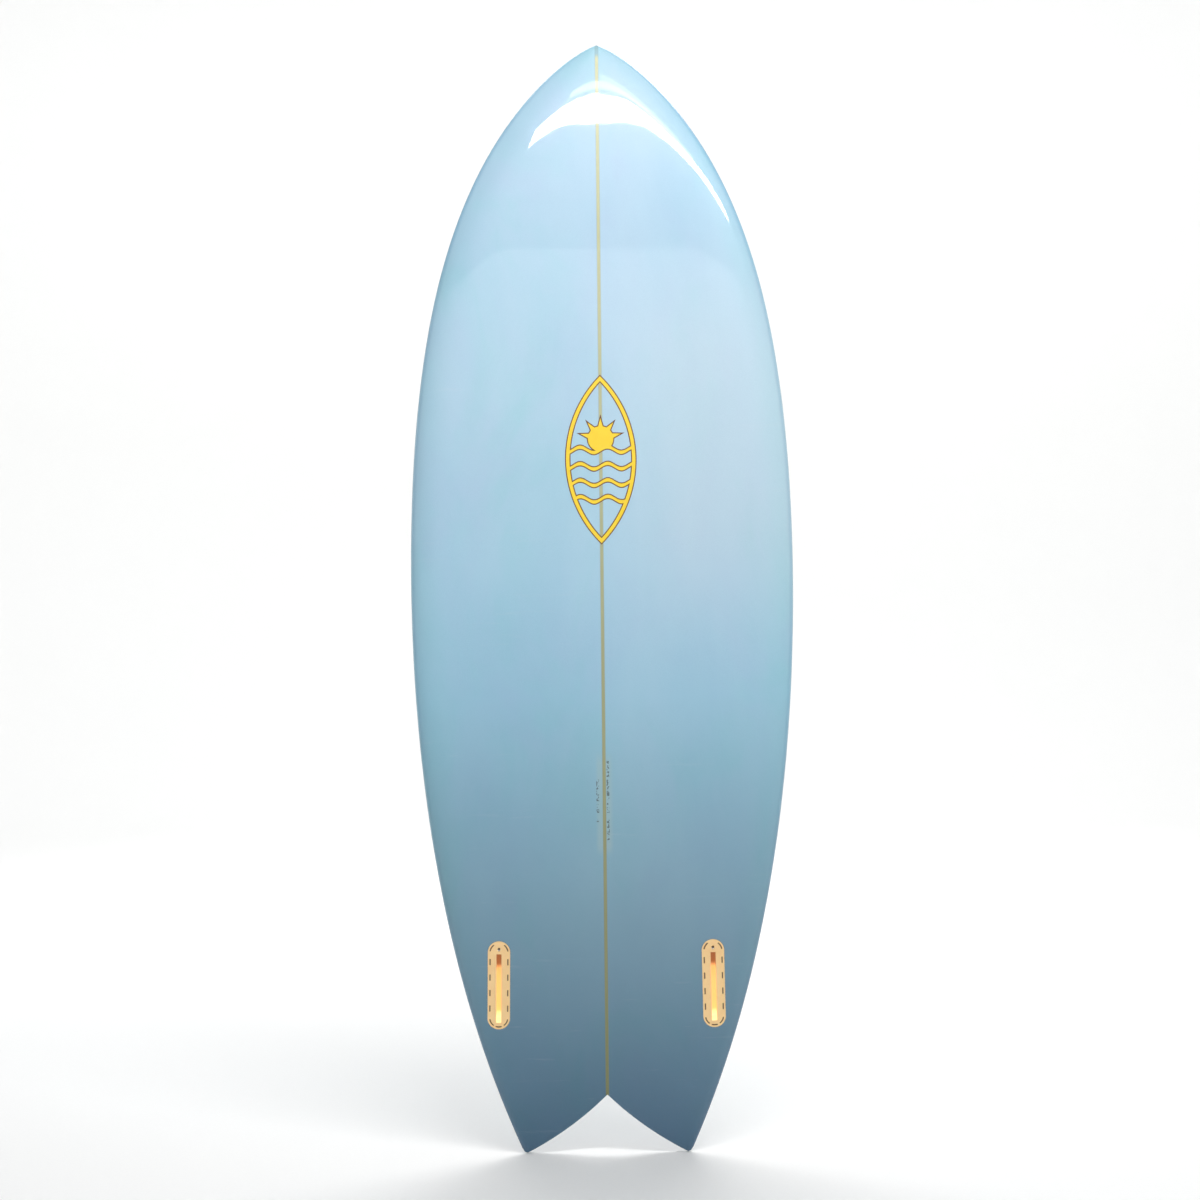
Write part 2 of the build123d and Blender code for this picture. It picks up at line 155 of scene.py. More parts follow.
def notch_z(x):
    """Height of the swallow tail's edge at a distance x from the stringer."""
    near = np.sqrt(x**2 + 2.0**2) - 2.0 * np.exp(-x / 6)
    near = np.minimum(near, TIP_X)
    arc = NOTCH_CENTRE[1] - np.sqrt(NOTCH_RADIUS**2 - (near - NOTCH_CENTRE[0]) ** 2)
    past = np.clip((x - TIP_X + 1.0) / (TIP_ROUND + 2.5), 0, 1)
    return np.maximum(arc, 0) + 6.5 * (1 - np.sqrt(1 - past**2))


def lap_half_width(z):
    return half_width(z) - LAP


# ---------------------------------------------------------------- mesh helpers


def new_object(name, verts, faces, scale=MM):
    mesh = bpy.data.meshes.new(name)
    mesh.from_pydata([tuple(float(c) * scale for c in v) for v in verts], [], [tuple(f) for f in faces])
    mesh.validate()
    mesh.update()
    piece = bpy.data.objects.new(name, mesh)
    bpy.context.scene.collection.objects.link(piece)
    return piece


def smooth(piece, angle=30):
    for polygon in piece.data.polygons:
        polygon.use_smooth = True
    piece.data.set_sharp_from_angle(angle=math.radians(angle))


COLUMNS = [(0, t) for t in np.linspace(0, 1, 17)]
COLUMNS += [(1, t) for t in np.linspace(0, 1, 15)[1:]]
COLUMNS += [(2, t) for t in np.linspace(0, 1, 33)[1:]]


def row_shares():
    rounded = EDGE_ROUND * 1.25 * np.array([0, 0.03, 0.12, 0.27, 0.5, 0.75, 1.0])
    heights = [rounded, np.arange(8, 1500, 8.0), np.arange(1500, 1600, 6.0), np.arange(1600, 1640, 3.0)]
    heights += [np.arange(1640, 1650, 1.0), np.array([1650, 1650.4, 1650.7, 1650.9, 1650.98])]
    return np.concatenate(heights) / LENGTH


def board_surface(inset):
    """Vertices, faces and the grid of points of the board's closed outer surface, inset by so much."""
    end = LENGTH - 2 * inset
    kind = np.array([k for k, _ in COLUMNS])[None, :]
    t = np.array([v for _, v in COLUMNS])[None, :]
    s = row_shares()[:, None]
    z = s * end + 0 * t
    for _ in range(30):
        x, y = half_section(kind, t, z, inset)
        edge = notch_z(x) + 1.25 * inset
        z = edge + s * (end - edge)
    x, y = half_section(kind, t, z, inset)
    bottom, rail, deck = levels(z, inset)
    gap = np.clip(1 - (z - edge) * 0.8 / EDGE_ROUND, 0, 1)
    ease = EDGE_ROUND * (1 - np.sqrt(1 - gap**2))
    y = np.clip(y, bottom + ease * 0.7, deck - ease)
    n = len(COLUMNS)
    ring_x = np.concatenate([x, -x[:, n - 2:0:-1]], axis=1)
    ring_y = np.concatenate([y, y[:, n - 2:0:-1]], axis=1)
    ring_z = np.concatenate([z, z[:, n - 2:0:-1]], axis=1)
    points = np.stack([ring_x, ring_y, ring_z], axis=-1)
    rows, ring, _ = points.shape
    verts = list(points.reshape(-1, 3))
    faces = []
    for r in range(rows - 1):
        for c in range(ring):
            d = (c + 1) % ring
            faces.append((r * ring + c, r * ring + d, (r + 1) * ring + d, (r + 1) * ring + c))
    tip = len(verts)
    verts.append((0, levels(np.array(end), inset)[1], end))
    last = (rows - 1) * ring
    faces += [(last + c, last + (c + 1) % ring, tip) for c in range(ring)]
    low = [c for c in range(n) if COLUMNS[c][0] < 2]
    high = [c for c in range(n) if COLUMNS[c][0] == 2][::-1]
    a, b = 0, 0
    while a < len(low) - 1 or b < len(high) - 1:
        here, there = low[a], high[b]
        step_low = b == len(high) - 1 or (a < len(low) - 1 and x[0, low[a + 1]] <= x[0, high[b + 1]])
        if step_low:
            a += 1
            face = (here, there, low[a])
        else:
            b += 1
            face = (here, there, high[b])
        faces.append(face)
        faces.append(tuple((ring - c) % ring for c in reversed(face)))
    return verts, faces, points


def join_surfaces(outer, inner):
    """A shell: the outer surface and the inner one turned inside out."""
    verts = outer[0] + inner[0]
    shift = len(outer[0])
    faces = list(outer[1]) + [tuple(shift + i for i in reversed(f)) for f in inner[1]]
    return verts, faces


def outward(piece):
    """Turns the faces of a closed piece outwards if they point inwards."""
    bm = bmesh.new()
    bm.from_mesh(piece.data)
    bmesh.ops.remove_doubles(bm, verts=bm.verts, dist=1e-7)
    bmesh.ops.recalc_face_normals(bm, faces=bm.faces)
    bm.to_mesh(piece.data)
    bm.free()
    piece.data.update()


def prism(name, outline, y_low, y_high):
    """A cutter over a closed outline of (x, z) points."""
    n = len(outline)
    verts = [(x, y_low, z) for x, z in outline] + [(x, y_high, z) for x, z in outline]
    caps = tessellate_polygon([[Vector((x, z, 0)) for x, z in outline]])
    faces = [tuple(f) for f in caps] + [tuple(n + i for i in reversed(f)) for f in caps]
    faces += [(i, (i + 1) % n, n + (i + 1) % n, n + i) for i in range(n)]
    piece = new_object(name, verts, faces)
    outward(piece)
    return piece


def cut(piece, cutter, operation):
    modifier = piece.modifiers.new("cut", "BOOLEAN")
    modifier.operation = operation
    modifier.solver = "EXACT"
    modifier.object = cutter
    bpy.context.view_layer.update()
    result = bpy.data.meshes.new_from_object(piece.evaluated_get(bpy.context.evaluated_depsgraph_get()))
    piece.modifiers.clear()
    old = piece.data
    piece.data = result
    bpy.data.meshes.remove(old)


def stadium(length, width, steps=24):
    """Outline of a slot shape, lengthwise along its second coordinate."""
    r, reach = width / 2, (length - width) / 2
    points = []
    for k in range(steps + 1):
        a = math.pi * k / steps
        points.append((r * math.cos(a), reach + r * math.sin(a)))
    for k in range(steps + 1):
        a = math.pi + math.pi * k / steps
        points.append((r * math.cos(a), -reach + r * math.sin(a)))
    return points


# ---------------------------------------------------------------- skins

outer_surface = board_surface(0.0)
shell = join_surfaces(outer_surface, board_surface(SKIN))
bottom_skin = new_object("bottom_skin", *shell)
deck_skin = new_object("deck_skin", *shell)

reference = new_object("reference", *outer_surface[:2])


def shading_normals(points):
    """Normals of the outer surface, evened out across the bottom near the nose, where highlights show kinks."""
    along = np.gradient(points, axis=0)
    ring = points.shape[1]
    around = (np.roll(points, -1, axis=1) - np.roll(points, 1, axis=1)) / 2
    normals = np.cross(around, along)
    normals /= np.maximum(np.linalg.norm(normals, axis=-1, keepdims=True), 1e-9)
    if normals[len(normals) // 2, 0, 1] > 0:
        normals = -normals
    reach = sum(1 for kind, _ in COLUMNS if kind < 2) - 1
    order = [c % ring for c in range(-reach, reach + 1)]
    for row in range(len(points)):
        z = points[row, 0, 2]
        spread = min(22.0 * min(max((z - 1200) / 300, 0), 1), 0.3 * float(half_width(np.array(z))))
        if spread < 1 or row == len(points) - 1:
            continue
        line = points[row, order]
        steps = np.linalg.norm(np.diff(line, axis=0), axis=1)
        s = np.concatenate([[0], np.cumsum(steps)])
        share = np.gradient(s)
        weights = np.exp(-((s[:, None] - s[None, :]) ** 2) / (2 * spread**2)) * share[None, :]
        even = weights @ normals[row, order] / weights.sum(axis=1, keepdims=True)
        near_edge = np.clip(np.minimum(s, s[-1] - s) / (1.5 * spread), 0, 1)[:, None]
        mixed = normals[row, order] * (1 - near_edge) + even * near_edge
        normals[row, order] = mixed / np.linalg.norm(mixed, axis=-1, keepdims=True)
    return [Vector(v) for v in normals.reshape(-1, 3)] + [Vector((0, 0, 1))]


outer_normals = shading_normals(outer_surface[2])


def lap_room():
    """The space over the deck inside the lap line, in rows across the board."""
    tail = np.array([66, 67, 69, 72, 76, 81, 87, 94, 102, 110, 119, 128, 137.9])
    heights = np.concatenate([tail, np.arange(140, 1560, 10.0), np.arange(1560, 1618, 3.0)])
    rows = []
    for z in heights:
        side = float(lap_half_width(np.array(z)))
        side = side if z > LAP_ROUND_Z else side - (LAP_ROUND_Z - z) ** 2 * LAP_ROUNDING
        inner = min(max(0.0, (LAP_TAIL_Z - z) / LAP_TAIL_RISE * LAP_TAIL_REACH), side)
        low = float(levels(np.array(z))[1])
        rows.append((z, side, inner, low))
    z_end = heights[-1] + 3.0
    verts, faces = [], []
    for z, side, inner, low in rows:
        for y in (low, ABOVE_DECK):
            verts += [(-side, y, z), (-inner, y, z), (inner, y, z), (side, y, z)]
    for r in range(len(rows) - 1):
        a, b = 8 * r, 8 * (r + 1)
        for c in (0, 2):
            faces.append((a + c, a + c + 1, b + c + 1, b + c))
            faces.append((a + 4 + c + 1, a + 4 + c, b + 4 + c, b + 4 + c + 1))
        faces.append((a, a + 4, b + 4, b))
        faces.append((a + 3, b + 3, b + 7, a + 7))
        if rows[r][2] > 0:
            faces.append((a + 1, b + 1, b + 5, a + 5))
            faces.append((a + 2, a + 6, b + 6, b + 2))
    tip = len(verts)
    low = float(levels(np.array(z_end))[1])
    verts += [(0, low, z_end), (0, ABOVE_DECK, z_end)]
    e = 8 * (len(rows) - 1)
    faces += [(e, e + 1, tip), (e + 2, e + 3, tip), (e + 5, e + 4, tip + 1), (e + 7, e + 6, tip + 1)]
    faces += [(e, tip, tip + 1, e + 4), (e + 3, e + 7, tip + 1, tip)]
    room = new_object("lap_room", verts, faces)
    outward(room)
    return room


FIN_X, FIN_Z, TOE_IN, SUNK = 157.0, 254.0, math.radians(1.1), 0.2
FLANGE_LENGTH, FLANGE_WIDTH = 131.0, 32.6


def fin_place(side):
    """Centre and directions of a fin box's flange: across, forward along the fin, out of the bottom."""
    slope = float(rocker(np.array(FIN_Z + 1)) - rocker(np.array(FIN_Z - 1))) / 2
    out = Vector((0, -1, slope)).normalized()
    across = Vector((1, 0, 0))
    forward = out.cross(across)
    a = side * TOE_IN
    across, forward = across * math.cos(a) + forward * math.sin(a), forward * math.cos(a) - across * math.sin(a)
    centre = Vector((side * FIN_X, float(levels(np.array(FIN_Z))[0]), FIN_Z)) - out * SUNK
    return centre, across, forward, out


def fin_room(side, margin):
    centre, across, forward, out = fin_place(side)
    outline = stadium(FLANGE_LENGTH + 2 * margin, FLANGE_WIDTH + 2 * margin)
    n = len(outline)
    verts = [centre + across * x + forward * y - out * CUT_IN for x, y in outline]
    verts += [centre + across * x + forward * y + out * CUT_OUT for x, y in outline]
    faces = [tuple(reversed(range(n))), tuple(range(n, 2 * n))]
    faces += [(i, (i + 1) % n, n + (i + 1) % n, n + i) for i in range(n)]
    room = new_object("fin_room", verts, faces)
    outward(room)
    return room


PLUG_X, PLUG_Z, PLUG_HOLE = 28.0, 156.0, 15.5


def plug_room():
    turns = np.linspace(0, 2 * math.pi, 65)[:-1]
    outline = [(PLUG_X + PLUG_HOLE * math.cos(a), PLUG_Z + PLUG_HOLE * math.sin(a)) for a in turns]
    level = float(levels(np.array(PLUG_Z))[2])
    return prism("plug_room", outline, level - CUT_IN, level + CUT_OUT)


def shade_like_reference(piece):
    """Gives the outer faces the reference surface's smooth normals, so that cuts don't show in reflections."""
    ref = reference.data
    tree = BVHTree.FromPolygons([v.co for v in ref.vertices], [p.vertices[:] for p in ref.polygons])
    mesh = piece.data
    for polygon in mesh.polygons:
        polygon.use_smooth = True
    mesh.set_sharp_from_angle(angle=math.radians(35))
    normals = [(0.0, 0.0, 0.0)] * len(mesh.loops)
    cache = {}
    for polygon in mesh.polygons:
        _, _, _, distance = tree.find_nearest(polygon.center)
        if distance is None or distance > 0.00012:
            continue
        for loop in polygon.loop_indices:
            index = mesh.loops[loop].vertex_index
            if index not in cache:
                co, _, face, _ = tree.find_nearest(mesh.vertices[index].co)
                weights, total = [], 0.0
                for v in ref.polygons[face].vertices:
                    w = 1.0 / max((ref.vertices[v].co - co).length, 1e-7)
                    weights.append((v, w))
                    total += w
                cache[index] = sum((outer_normals[v] * (w / total) for v, w in weights), Vector()).normalized()
            if cache[index].dot(polygon.normal) > 0.8:
                normals[loop] = tuple(cache[index])
    mesh.normals_split_custom_set(normals)


lap_cutter = lap_room()
fin_cutters = [fin_room(side, 1.2) for side in (-1, 1)]
plug_cutter = plug_room()
cut(bottom_skin, lap_cutter, "DIFFERENCE")
for cutter in fin_cutters:
    cut(bottom_skin, cutter, "DIFFERENCE")
cut(deck_skin, lap_cutter, "INTERSECT")
cut(deck_skin, plug_cutter, "DIFFERENCE")
for piece in (bottom_skin, deck_skin):
    shade_like_reference(piece)
    rail = piece.data.attributes.new("rail", "FLOAT", "POINT")
    spots = np.array([v.co[:] for v in piece.data.vertices]) / MM
    rail.data.foreach_set("value", ((half_width(spots[:, 2]) - np.abs(spots[:, 0])) * MM).astype(np.float32))
for helper in (reference, lap_cutter, plug_cutter, *fin_cutters):
    bpy.data.objects.remove(helper)


# ---------------------------------------------------------------- badge

BADGE_Z, BADGE_LENGTH, BADGE_WIDTH, RING = 1020.0, 248.0, 104.0, 8.0
SUN_RADIUS, SUN_Z, RAYS, RAY_TURN = 20.0, 1050.0, 5, 38.0
RAY_REACH, RAY_FOOT, RAY_FOOT_RADIUS = 36.0, 5.0, 18.0  # tip radius, and half the width at the foot's radius
WAVES = [BADGE_Z + 14.0 - 24.0 * row for row in range(4)]
WAVE_WIDTH, WAVE_SWING, WAVE_LENGTH = 8.0, 4.0, 40.0
OVAL_RADIUS = (BADGE_LENGTH**2 + BADGE_WIDTH**2) / (4 * BADGE_WIDTH)
OVAL_SHIFT = OVAL_RADIUS - BADGE_WIDTH / 2


def oval_side(z, inset):
    return math.sqrt(max((OVAL_RADIUS - inset) ** 2 - (z - BADGE_Z) ** 2, OVAL_SHIFT**2)) - OVAL_SHIFT


def oval_tip(inset):
    return math.sqrt((OVAL_RADIUS - inset) ** 2 - OVAL_SHIFT**2)


def oval_arc(low, high, inset, steps=40):
    """The right side of the pointed oval from z low to z high."""
    return [(oval_side(z, inset), z) for z in np.linspace(low, high, steps)]


def wave_edge(centre, side, thin, inset):
    """Upper (side 1) or lower (side -1) edge of a wave from the left of the oval to the right."""

    def height(x):
        slope = WAVE_SWING * 2 * math.pi / WAVE_LENGTH * math.cos(2 * math.pi * x / WAVE_LENGTH)
        middle_line = centre + WAVE_SWING * math.sin(2 * math.pi * x / WAVE_LENGTH)
        return middle_line + side * (WAVE_WIDTH / 2 - thin * math.sqrt(1 + slope**2))

    ends = []
    for sign in (-1, 1):
        near, far = 0.0, BADGE_WIDTH / 2
        for _ in range(40):
            middle = (near + far) / 2
            if middle < oval_side(height(sign * middle), inset):
                near = middle
            else:
                far = middle
        ends.append(sign * near)
    return [(x, height(x)) for x in np.linspace(ends[0], ends[1], 61)]


def sun_reach(angle, thin):
    """Distance from the sun's centre to its outline, rays included."""
    slope = RAY_FOOT / (RAY_REACH - RAY_FOOT_RADIUS)
    tip = RAY_REACH - thin * math.sqrt(1 + slope**2) / slope
    best = SUN_RADIUS - thin
    for k in range(RAYS):
        turn = abs(angle - 90 - RAY_TURN * (k - (RAYS - 1) / 2))
        if turn < 60:
            turn = math.radians(turn)
            best = max(best, tip * slope / (math.sin(turn) + slope * math.cos(turn)))
    return best


def sun_outline(wave, thin):
    """The sun's outline over the wave's upper edge, from left to right."""
    xs, zs = zip(*wave)
    points = []
    for step in range(541):
        angle = 270 - 0.66667 * step
        reach = sun_reach(angle, thin)
        x, z = reach * math.cos(math.radians(angle)), SUN_Z + reach * math.sin(math.radians(angle))
        if z > np.interp(x, xs, zs):
            points.append((x, z))
    return points


def badge_windows(grow):
    """Outlines of the openings in the badge, each larger by so much on every side."""
    inset = RING - grow
    windows = []
    top = wave_edge(WAVES[0], 1, grow, inset)
    sun = sun_outline(top, grow)
    left = [p for p in top if p[0] < sun[0][0]]
    right = [p for p in top if p[0] > sun[-1][0]]
    arc = oval_arc(right[-1][1], BADGE_Z + oval_tip(inset), inset)[1:]
    arc_left = [(-x, z) for x, z in oval_arc(left[0][1], BADGE_Z + oval_tip(inset), inset)[1:-1]]
    windows.append(left + sun + right + arc + arc_left[::-1])
    for upper, lower in zip(WAVES, WAVES[1:]):
        low = wave_edge(lower, 1, grow, inset)
        high = wave_edge(upper, -1, grow, inset)
        arc = oval_arc(low[-1][1], high[-1][1], inset, 8)[1:-1]
        arc_left = [(-x, z) for x, z in oval_arc(low[0][1], high[0][1], inset, 8)[1:-1]]
        windows.append(low + arc + high[::-1] + arc_left[::-1])
    low = wave_edge(WAVES[-1], -1, grow, inset)
    bottom = BADGE_Z - oval_tip(inset)
    arc = oval_arc(bottom, low[-1][1], inset)[1:-1]
    arc_left = [(-x, z) for x, z in oval_arc(bottom, low[0][1], inset)[1:-1]]
    windows.append(low + arc[::-1] + [(0, bottom)] + arc_left)
    return windows


def badge_layer(name, grow, proud):
    """One printed layer of the badge on the bottom's surface."""
    z = np.arange(BADGE_Z - BADGE_LENGTH / 2 - 2, BADGE_Z + BADGE_LENGTH / 2 + 2.1, 4.0)
    y = levels(z)[0]
    verts = []
    for shift in (-proud, 0.3):
        for side in (-1, 1):
            verts += [(side * (BADGE_WIDTH / 2 + 2), y[k] + shift, z[k]) for k in range(len(z))]
    m = len(z)
    faces = []
    for k in range(m - 1):
        for a, b in ((0, m), (m, 3 * m), (3 * m, 2 * m), (2 * m, 0)):
            faces.append((a + k, b + k, b + k + 1, a + k + 1))
    faces += [(0, m, 3 * m, 2 * m), (m - 1, 2 * m - 1, 4 * m - 1, 3 * m - 1)]
    layer = new_object(name, verts, faces)
    outward(layer)
    low, high = float(y.min()) - 5, float(y.max()) + 8
    tip = oval_tip(grow)
    right = oval_arc(BADGE_Z - tip, BADGE_Z + tip, grow, 90)
    outline = prism("outline", right + [(-x, zz) for x, zz in right[1:-1][::-1]], low, high)
    cut(layer, outline, "INTERSECT")
    bpy.data.objects.remove(outline)
    for window in badge_windows(grow):
        hole = prism("hole", window, low, high)
        cut(layer, hole, "DIFFERENCE")
        bpy.data.objects.remove(hole)
    smooth(layer, 30)
    return layer


badge_edge = badge_layer("badge_edge", 0.0, 0.10)
badge_fill = badge_layer("badge_fill", 1.5, 0.16)


# ---------------------------------------------------------------- materials


def srgb(r, g, b):
    def lin(c):
        c /= 255
        return c / 12.92 if c <= 0.04045 else ((c + 0.055) / 1.055) ** 2.4

    return (lin(r), lin(g), lin(b), 1.0)


class Nodes:
    """A short way to write a node material."""

    def __init__(self, name):
        self.material = bpy.data.materials.new(name)
        self.material.use_nodes = True
        self.tree = self.material.node_tree
        self.tree.nodes.clear()
        self.shader = self.add("ShaderNodeBsdfPrincipled")
        out = self.add("ShaderNodeOutputMaterial")
        self.link(self.shader.outputs[0], out.inputs[0])
        coords = self.add("ShaderNodeTexCoord").outputs["Object"]
        self.coords = coords
        split = self.add("ShaderNodeSeparateXYZ")
        self.link(coords, split.inputs[0])
        self.x, self.y, self.z = split.outputs

    def add(self, kind):
        return self.tree.nodes.new(kind)

    def link(self, a, b):
        self.tree.links.new(a, b)

    def put(self, socket, value):
        if isinstance(value, bpy.types.NodeSocket):
            self.link(value, socket)
        else:
            socket.default_value = value

    def math(self, operation, a, b=0.0, c=0.0):
        node = self.add("ShaderNodeMath")
        node.operation = operation
        for socket, value in zip(node.inputs, (a, b, c)):
            self.put(socket, value)
        return node.outputs[0]

    def remap(self, value, low, high, to_low=0.0, to_high=1.0, smooth=True):
        node = self.add("ShaderNodeMapRange")
        node.interpolation_type = "SMOOTHSTEP" if smooth else "LINEAR"
        self.put(node.inputs["Value"], value)
        node.inputs["From Min"].default_value = low
        node.inputs["From Max"].default_value = high
        node.inputs["To Min"].default_value = to_low
        node.inputs["To Max"].default_value = to_high
        return node.outputs["Result"]

    def noise(self, stretch, scale, detail=3.0, roughness=0.5, distortion=0.0, offset=(0, 0, 0)):
        mapping = self.add("ShaderNodeMapping")
        self.link(self.coords, mapping.inputs["Vector"])
        mapping.inputs["Scale"].default_value = stretch
        mapping.inputs["Location"].default_value = offset
        node = self.add("ShaderNodeTexNoise")
        self.link(mapping.outputs[0], node.inputs["Vector"])
        node.inputs["Scale"].default_value = scale
        node.inputs["Detail"].default_value = detail
        node.inputs["Roughness"].default_value = roughness
        node.inputs["Distortion"].default_value = distortion
        return node.outputs["Fac"]

    def mix(self, factor, a, b, blend="MIX"):
        node = self.add("ShaderNodeMix")
        node.data_type = "RGBA"
        node.blend_type = blend
        node.clamp_factor = True
        self.put(node.inputs[0], factor)
        self.put(node.inputs[6], a)
        self.put(node.inputs[7], b)
        return node.outputs[2]

    def ramp(self, value, stops):
        node = self.add("ShaderNodeValToRGB")
        self.put(node.inputs[0], value)
        elements = node.color_ramp.elements
        while len(elements) < len(stops):
            elements.new(0.5)
        for element, (position, colour) in zip(elements, stops):
            element.position = position
            element.color = colour
        return node.outputs[0]

    def bump(self, height, strength, distance, coat=False):
        node = self.add("ShaderNodeBump")
        node.inputs["Strength"].default_value = strength
        node.inputs["Distance"].default_value = distance
        self.put(node.inputs["Height"], height)
        self.link(node.outputs[0], self.shader.inputs["Normal"])
        if coat:
            self.link(node.outputs[0], self.shader.inputs["Coat Normal"])

    def set(self, **values):
        for name, value in values.items():
            self.put(self.shader.inputs[name.replace("_", " ")], value)


def resin(name, deck):
    """Blue-tinted resin over glass cloth, polished, with the stringer showing through; darker towards the tail,
    partly a deeper tint and partly painted shade.
    """
    m = Nodes(name)
    height = m.remap(m.z, 0.0, LENGTH * MM, smooth=False)
    # darker towards the tail: partly a deeper tint, partly painted shade for the light falling off down the
    # board
    tint = m.ramp(
        height,
        [
            (0.00, srgb(62, 96, 124)),
            (0.08, srgb(85, 121, 144)),
            (0.20, srgb(115, 152, 171)),
            (0.30, srgb(137, 176, 195)),
            (0.41, srgb(161, 201, 221)),
            (0.52, srgb(176, 211, 230)),
            (0.68, srgb(184, 215, 232)),
            (0.86, srgb(180, 209, 228)),
            (1.00, srgb(176, 205, 224)),
        ],
    )
    cloud = m.noise((1, 1, 0.55), 5.5, detail=4, roughness=0.6, distortion=0.6)
    tint = m.mix(m.remap(cloud, 0.42, 0.75, 0, 0.9), tint, (1.0, 0.945, 0.985, 1), "MULTIPLY")
    aqua = m.noise((1, 1, 0.5), 7.0, detail=4, roughness=0.6, distortion=0.5, offset=(3, 7, 1))
    tint = m.mix(m.remap(aqua, 0.45, 0.78, 0, 0.9), tint, (0.86, 1.0, 0.95, 1), "MULTIPLY")
    depth = m.noise((1.2, 1, 0.4), 3.2, detail=5, roughness=0.55, distortion=0.3, offset=(1, 2, 9))
    tint = m.mix(m.remap(depth, 0.3, 0.75, 0.0, 0.8), tint, (0.80, 0.90, 0.94, 1), "MULTIPLY")
    streak = m.noise((1, 1, 14), 6.0, detail=5, roughness=0.7, distortion=0.2, offset=(5, 1, 2))
    tint = m.mix(m.remap(streak, 0.60, 0.80, 0, 0.08), tint, srgb(222, 220, 228))
    # painted light: a paler patch right of the stringer in the middle of the board, where light from the right
    # falls
    pale = m.math("MULTIPLY", m.remap(m.x, -0.02, 0.16, 0, 1), m.remap(m.z, 0.70, 0.95, 0, 1))
    pale = m.math("MULTIPLY", pale, m.remap(m.z, 1.15, 1.45, 1, 0))
    tint = m.mix(m.math("MULTIPLY", pale, 0.26), tint, srgb(224, 226, 230))
    rail = m.add("ShaderNodeAttribute")
    rail.attribute_name = "rail"
    rail = rail.outputs["Fac"]
    tint = m.mix(m.remap(rail, 0.012, 0.055, 0.8, 0), tint, (0.93, 1.0, 0.97, 1), "MULTIPLY")
    # painted shade: darker within 9 mm of the outline, where the rail turns away
    tint = m.mix(m.remap(rail, 0.0005, 0.009, 0.75, 0), tint, (0.62, 0.76, 0.86, 1), "MULTIPLY")
    # stringer, darker towards the tail as painted shade, and the paler cloth strip beside it
    across = m.math("ABSOLUTE", m.x)
    grain = m.noise((260, 60, 2.2), 6.0, detail=5, roughness=0.7)
    wood = m.ramp(
        height,
        [
            (0.0, srgb(120, 122, 74)),
            (0.3, srgb(154, 156, 112)),
            (0.6, srgb(188, 190, 150)),
            (1.0, srgb(210, 210, 168)),
        ],
    )
    wood = m.mix(m.remap(grain, 0.25, 0.75, 0, 0.7), wood, (0.82, 0.80, 0.72, 1), "MULTIPLY")
    edge = m.noise((0, 0, 1), 60.0, detail=3)
    reach = m.math("MULTIPLY_ADD", edge, 0.0004, across)
    if not deck:
        strip = m.math("MULTIPLY", m.remap(across, 0.007, 0.014, 1, 0), m.remap(m.z, 0.440, 0.460, 0, 1))
        strip = m.math("MULTIPLY", strip, m.remap(m.z, 0.575, 0.600, 1, 0))
        tint = m.mix(m.math("MULTIPLY", strip, 0.20), tint, srgb(186, 196, 170))
    tint = m.mix(m.remap(reach, 0.0026, 0.0034, 0.35, 0), tint, srgb(110, 130, 120))
    shown = m.math("MULTIPLY", m.remap(reach, 0.0021, 0.0029, 1, 0), m.remap(m.z, 1.628, 1.638, 1, 0))
    colour = m.mix(shown, tint, wood)
    if not deck:
        # a shaper's pencil marks, with nothing to read in them
        marks = m.remap(m.noise((1, 1, 0.8), 430.0, detail=1), 0.52, 0.57)
        gaps = m.remap(m.noise((0, 0, 1), 75.0, detail=1), 0.40, 0.44)
        for middle, low, high in ((0.0054, 0.462, 0.585), (-0.0096, 0.492, 0.558)):
            beside = m.math("ABSOLUTE", m.math("SUBTRACT", m.x, middle))
            start = m.remap(m.z, low, low + 0.002)
            column = m.math("MULTIPLY", m.remap(beside, 0.0015, 0.0023, 1, 0), start)
            column = m.math("MULTIPLY", column, m.remap(m.z, high - 0.002, high, 1, 0))
            pencil = m.math("MULTIPLY", m.math("MULTIPLY", column, marks), gaps)
            colour = m.mix(m.math("MULTIPLY", pencil, 0.75), colour, srgb(58, 66, 64))
    weave = m.noise((1, 1, 1), 900.0, detail=1)
    colour = m.mix(m.remap(weave, 0.3, 0.7, 0, 0.05), colour, srgb(90, 130, 160))
    if deck:
        colour = m.mix(0.10, colour, srgb(236, 242, 240))
    ripple = m.noise((1, 1, 0.6), 26.0, detail=2)
    m.set(Base_Color=colour, Roughness=m.remap(weave, 0.2, 0.8, 0.30, 0.42), Specular_IOR_Level=0.3)
    m.set(Coat_Weight=1.0, Coat_Roughness=0.035, Coat_IOR=1.5)
    m.bump(ripple, 0.25, 0.0004, coat=True)
    return m.material


# marks on a fin box, in metres from its centre: the slot's extent, its rising end (painted light), its shaded
# end (painted shadow), and the depth at which a recess begins to count as one and gets painted shade
SLOT_HALF, SLOT_FRONT, SLOT_REAR = 0.0040, 0.0473, -0.0565
RAMP, SHADED, RECESS = (-0.047, -0.041), (0.020, 0.029), (-0.00065, -0.00030)
SLOT_GLOW = 0.33


